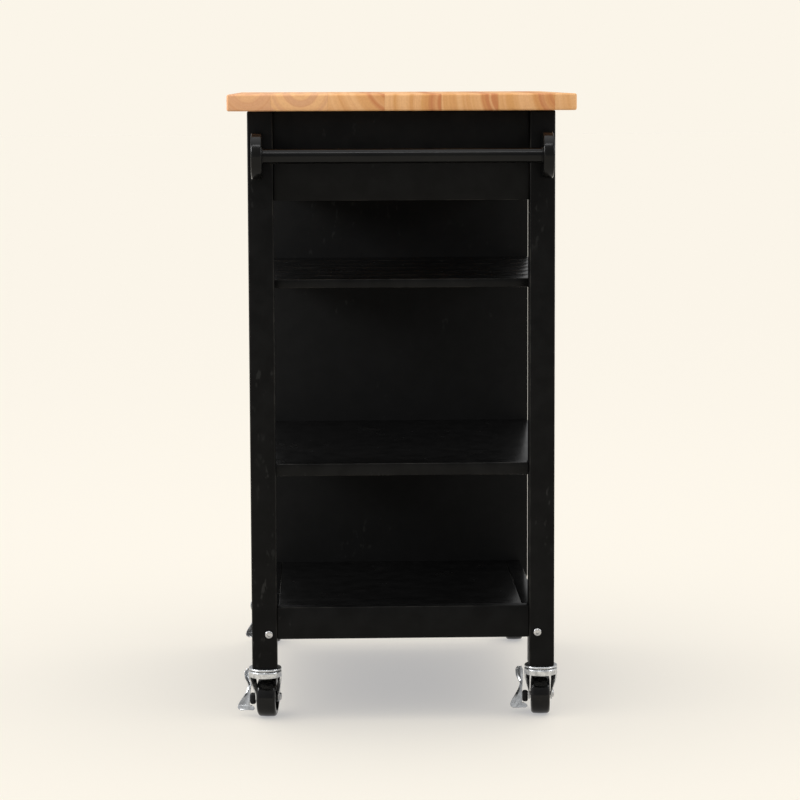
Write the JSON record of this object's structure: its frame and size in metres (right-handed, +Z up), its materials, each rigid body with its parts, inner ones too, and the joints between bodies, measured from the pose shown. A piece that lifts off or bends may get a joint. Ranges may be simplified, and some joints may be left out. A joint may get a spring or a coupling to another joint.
{
  "type": "butcher block table",
  "caption": "Rolling kitchen table: wooden butcher block top on a black frame with open shelves, a back panel, a towel bar at one end and braked swivel casters.",
  "frame": {"origin": "on the floor, under the middle of the whole object's box", "axes": "+Z up; -Y towards the end with the towel bar; +X to the right seen from that end"},
  "size_m": [0.502, 0.6564, 0.925],
  "materials": {
    "butcher_block": "oiled",
    "frame_paint": "satin black paint",
    "shelf_paint": "satin black paint",
    "bar_coating": "satin black",
    "bolt_steel": "satin",
    "caster_zinc": "bright zinc",
    "wheel_black": "gloss",
    "cam_plastic": "matte"
  },
  "bodies": {
    "cart": {"block_top": "butcher_block", "post_front_left": "frame_paint", "post_front_right": "frame_paint", "post_rear_left": "frame_paint", "post_rear_right": "frame_paint", "end_apron_front": "frame_paint", "end_apron_rear": "frame_paint", "side_apron_left": "frame_paint", "side_apron_right": "frame_paint", "end_rail_front": "frame_paint", "end_rail_rear": "frame_paint", "side_rail_left": "frame_paint", "side_rail_right": "frame_paint", "back_panel": "shelf_paint", "shelf_slat_1": "shelf_paint", "shelf_slat_2": "shelf_paint", "shelf_slat_3": "shelf_paint", "shelf_slat_4": "shelf_paint", "shelf_slat_5": "shelf_paint", "shelf_slat_6": "shelf_paint", "slat_cleat_left": "shelf_paint", "slat_cleat_right": "shelf_paint", "middle_shelf": "shelf_paint", "middle_cleat_left": "shelf_paint", "middle_cleat_right": "shelf_paint", "bottom_shelf": "shelf_paint", "towel_bar": "bar_coating", "towel_bar_bracket_left": "bar_coating", "towel_bar_bracket_right": "bar_coating", "rail_bolt_front_left": "bolt_steel", "rail_bolt_front_right": "bolt_steel", "rail_bolt_rear_left": "bolt_steel", "rail_bolt_rear_right": "bolt_steel", "caster_mount_front_left": "caster_zinc", "caster_mount_front_right": "caster_zinc", "caster_mount_rear_left": "caster_zinc", "caster_mount_rear_right": "caster_zinc"},
    "swivel_front_left": {"caster_fork_front_left": "caster_zinc", "caster_axle_front_left": "bolt_steel"},
    "wheel_front_left": {"caster_wheel_front_left": "wheel_black"},
    "brake_front_left": {"brake_cam_front_left": "cam_plastic", "brake_lever_front_left": "caster_zinc"},
    "swivel_front_right": {"caster_fork_front_right": "caster_zinc", "caster_axle_front_right": "bolt_steel"},
    "wheel_front_right": {"caster_wheel_front_right": "wheel_black"},
    "brake_front_right": {"brake_cam_front_right": "cam_plastic", "brake_lever_front_right": "caster_zinc"},
    "swivel_rear_left": {"caster_fork_rear_left": "caster_zinc", "caster_axle_rear_left": "bolt_steel"},
    "wheel_rear_left": {"caster_wheel_rear_left": "wheel_black"},
    "brake_rear_left": {"brake_cam_rear_left": "cam_plastic", "brake_lever_rear_left": "caster_zinc"},
    "swivel_rear_right": {"caster_fork_rear_right": "caster_zinc", "caster_axle_rear_right": "bolt_steel"},
    "wheel_rear_right": {"caster_wheel_rear_right": "wheel_black"},
    "brake_rear_right": {"brake_cam_rear_right": "cam_plastic", "brake_lever_rear_right": "caster_zinc"}
  },
  "joints": [
    {"name": "swivel_front_left", "type": "hinge", "parent": "cart", "child": "swivel_front_left", "pos_m": [-0.2045, -0.24175, 0.077], "axis": [0, 0, 1], "continuous": true},
    {"name": "wheel_roll_front_left", "type": "hinge", "parent": "swivel_front_left", "child": "wheel_front_left", "pos_m": [-0.20109, -0.21396, 0.03], "axis": [0.9925, -0.1219, 0], "continuous": true},
    {"name": "brake_release_front_left", "type": "hinge", "parent": "swivel_front_left", "child": "brake_front_left", "pos_m": [-0.20109, -0.21396, 0.03], "axis": [-0.9925, 0.1219, 0], "range_deg": [0, 28]},
    {"name": "swivel_front_right", "type": "hinge", "parent": "cart", "child": "swivel_front_right", "pos_m": [0.2045, -0.24175, 0.077], "axis": [0, 0, 1], "continuous": true},
    {"name": "wheel_roll_front_right", "type": "hinge", "parent": "swivel_front_right", "child": "wheel_front_right", "pos_m": [0.20621, -0.2138, 0.03], "axis": [0.9981, -0.061, 0], "continuous": true},
    {"name": "brake_release_front_right", "type": "hinge", "parent": "swivel_front_right", "child": "brake_front_right", "pos_m": [0.20621, -0.2138, 0.03], "axis": [-0.9981, 0.061, 0], "range_deg": [0, 28]},
    {"name": "swivel_rear_left", "type": "hinge", "parent": "cart", "child": "swivel_rear_left", "pos_m": [-0.2045, 0.27025, 0.077], "axis": [0, 0, 1], "continuous": true},
    {"name": "wheel_roll_rear_left", "type": "hinge", "parent": "swivel_rear_left", "child": "wheel_rear_left", "pos_m": [-0.2045, 0.29825, 0.03], "axis": [1, 0, 0], "continuous": true},
    {"name": "brake_release_rear_left", "type": "hinge", "parent": "swivel_rear_left", "child": "brake_rear_left", "pos_m": [-0.2045, 0.29825, 0.03], "axis": [-1, 0, 0], "range_deg": [0, 28]},
    {"name": "swivel_rear_right", "type": "hinge", "parent": "cart", "child": "swivel_rear_right", "pos_m": [0.2045, 0.27025, 0.077], "axis": [0, 0, 1], "continuous": true},
    {"name": "wheel_roll_rear_right", "type": "hinge", "parent": "swivel_rear_right", "child": "wheel_rear_right", "pos_m": [0.2045, 0.29825, 0.03], "axis": [1, 0, 0], "continuous": true},
    {"name": "brake_release_rear_right", "type": "hinge", "parent": "swivel_rear_right", "child": "brake_rear_right", "pos_m": [0.2045, 0.29825, 0.03], "axis": [-1, 0, 0], "range_deg": [0, 28]}
  ]
}
